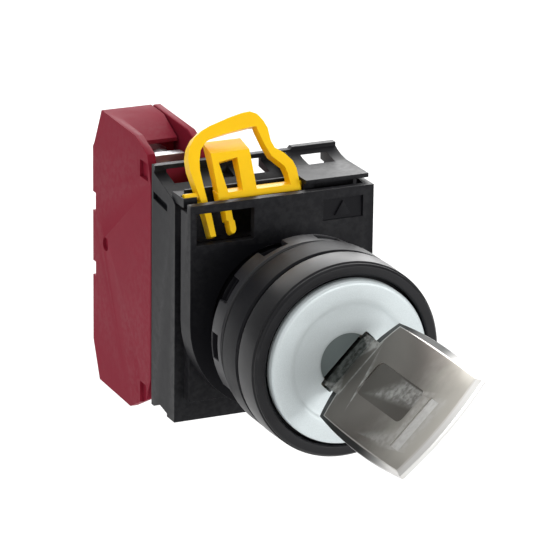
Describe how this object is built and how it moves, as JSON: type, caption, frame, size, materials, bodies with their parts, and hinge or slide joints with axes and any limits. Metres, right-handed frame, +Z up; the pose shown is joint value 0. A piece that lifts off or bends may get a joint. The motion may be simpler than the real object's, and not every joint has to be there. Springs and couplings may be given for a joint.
{
  "type": "selector key switch",
  "caption": "Panel key switch: round black bezel with silver dial and inserted key, threaded barrel with locking ring, square adaptor with yellow release lever, slim red contact block.",
  "frame": {"origin": "on the operator's axis, in the plane where the panel meets the gasket behind the bezel", "axes": "+Y along the operator's axis towards the back of the panel, +Z up, +X to the right seen from the front"},
  "size_m": [0.0302, 0.0923, 0.05],
  "materials": {
    "black_plastic": "satin moulded",
    "gasket_rubber": "matte",
    "brass_metal": "machined",
    "steel": "zinc plated",
    "silver_dial": "satin silver paint",
    "nickel": "polished nickel plate",
    "ivory_plastic": "moulded",
    "contact_silver": "silver alloy",
    "red_plastic": "satin moulded",
    "yellow_plastic": "moulded"
  },
  "bodies": {
    "switch_frame": {"operator_housing": "black_plastic", "bezel_ring": "black_plastic", "panel_gasket": "gasket_rubber", "cylinder_sleeve": "brass_metal", "detent_pin": "steel", "detent_spring": "steel", "adaptor_plate": "black_plastic", "adaptor_body": "black_plastic", "block_housing": "red_plastic", "block_cover": "red_plastic", "terminal_upper": "steel", "terminal_lower": "steel", "fixed_tip_upper": "contact_silver", "fixed_tip_lower": "contact_silver", "clamp_washer_upper": "steel", "clamp_washer_lower": "steel", "return_spring": "steel"},
    "lock_ring": {"locking_ring": "black_plastic"},
    "rotor": {"key_dial": "silver_dial", "lock_plug": "brass_metal", "drive_cam": "ivory_plastic", "cam_clip": "steel", "wafer_1": "brass_metal", "wafer_2": "brass_metal", "wafer_3": "brass_metal", "wafer_4": "brass_metal", "wafer_5": "brass_metal", "wafer_spring_1": "steel", "wafer_spring_2": "steel", "wafer_spring_3": "steel", "wafer_spring_4": "steel", "wafer_spring_5": "steel"},
    "key": {"key": "nickel"},
    "follower": {"cam_follower": "ivory_plastic"},
    "plunger": {"contact_plunger": "ivory_plastic", "contact_spring": "steel"},
    "bridge": {"contact_bridge": "brass_metal", "bridge_tip_upper": "contact_silver", "bridge_tip_lower": "contact_silver"},
    "lever": {"locking_lever": "yellow_plastic"},
    "screw_upper": {"terminal_screw_upper": "steel"},
    "screw_lower": {"terminal_screw_lower": "steel"}
  },
  "joints": [
    {"name": "ring_turn", "type": "hinge", "parent": "switch_frame", "child": "lock_ring", "pos_m": [0, 0, 0], "axis": [0, 1, 0], "range_deg": [0, 1260]},
    {"name": "selector_turn", "type": "hinge", "parent": "switch_frame", "child": "rotor", "pos_m": [0, 0, 0], "axis": [0, -1, 0], "range_deg": [0, 90]},
    {"name": "key_slide", "type": "slide", "parent": "rotor", "child": "key", "axis": [0, -1, 0], "range_m": [0, 0.03]},
    {"name": "follower_slide", "type": "slide", "parent": "switch_frame", "child": "follower", "axis": [0, -1, 0], "range_m": [0, 0.00301]},
    {"name": "plunger_slide", "type": "slide", "parent": "switch_frame", "child": "plunger", "axis": [0, -1, 0], "range_m": [0, 0.00301], "deforming": ["return_spring"]},
    {"name": "bridge_slide", "type": "slide", "parent": "plunger", "child": "bridge", "axis": [0, 1, 0], "range_m": [0, 0.00061], "deforming": ["contact_spring"]},
    {"name": "lever_swing", "type": "hinge", "parent": "switch_frame", "child": "lever", "pos_m": [0, 0.0144, 0.0187], "axis": [1, 0, 0], "range_deg": [0, 30]},
    {"name": "screw_upper_turn", "type": "hinge", "parent": "switch_frame", "child": "screw_upper", "pos_m": [-0.01005, 0.0343, 0.01755], "axis": [0, 1, 0], "continuous": true},
    {"name": "screw_lower_turn", "type": "hinge", "parent": "switch_frame", "child": "screw_lower", "pos_m": [-0.01005, 0.0343, -0.01385], "axis": [0, 1, 0], "continuous": true}
  ],
  "couplings": [
    {"joint": "follower_slide", "follows": "selector_turn", "m_per_rad": 0.0019099},
    {"joint": "plunger_slide", "follows": "selector_turn", "m_per_rad": 0.0019099},
    {"joint": "bridge_slide", "follows": "selector_turn", "m_per_rad": 0.00038197}
  ]
}
